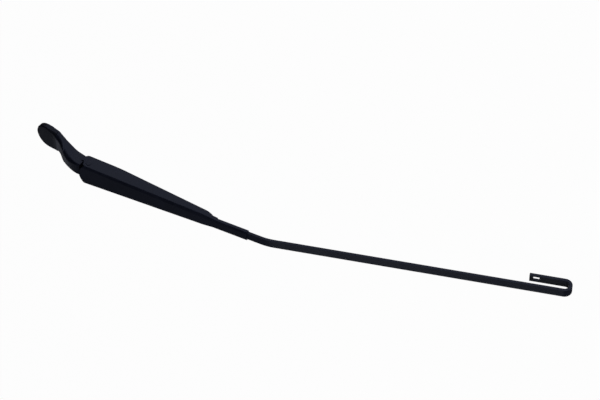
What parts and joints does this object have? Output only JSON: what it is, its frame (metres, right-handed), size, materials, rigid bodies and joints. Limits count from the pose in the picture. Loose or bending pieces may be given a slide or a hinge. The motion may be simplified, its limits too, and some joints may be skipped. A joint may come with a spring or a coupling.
{
  "type": "wiper arm",
  "caption": "Hinged wiper arm with cast spindle head, pressed channel, tension spring and a flat rod ending in a blade hook",
  "frame": {"origin": "centre of the nut seat on the axis of the wiper spindle", "axes": "+X from the spindle towards the blade hook, +Y across the arm, +Z along the spindle axis away from the glass"},
  "size_m": [0.5548, 0.0284, 0.2002],
  "materials": {
    "painted_casting": "black semi-gloss powder coat on a casting",
    "painted_steel": "black semi-gloss coat on steel",
    "cap_plastic": "black fine-grained plastic",
    "bush_nylon": "natural nylon",
    "pin_steel": "dull zinc plate",
    "spring_steel": "oiled dark spring wire"
  },
  "bodies": {
    "head": {"head": "painted_casting", "nut_cap": "cap_plastic", "hinge_bush_left": "bush_nylon", "hinge_bush_right": "bush_nylon", "anchor_pin": "pin_steel"},
    "arm": {"channel": "painted_steel", "rod": "painted_steel", "hinge_pin": "painted_steel"},
    "link": {"spring_link": "pin_steel"},
    "spring": {"tension_spring": "spring_steel"}
  },
  "joints": [
    {"name": "arm_hinge", "type": "hinge", "parent": "head", "child": "arm", "pos_m": [0.0682, 0, 0.0124], "axis": [0, -1, 0], "range_deg": [0, 50], "stiffness_Nm_per_rad": 0.3, "springref_deg": -171.89},
    {"name": "link_hinge", "type": "hinge", "parent": "head", "child": "link", "pos_m": [0.06197, 0, 0.00769], "axis": [0, -1, 0], "range_deg": [-1, 49]},
    {"name": "spring_stretch", "type": "slide", "parent": "link", "child": "spring", "axis": [0.9859, 0, -0.1674], "range_m": [-0.0002, 0.0028], "deforming": ["tension_spring"]}
  ],
  "couplings": [
    {"joint": "link_hinge", "follows": "arm_hinge", "ratio": 0.946},
    {"joint": "spring_stretch", "follows": "arm_hinge", "m_per_rad": 0.00297}
  ]
}
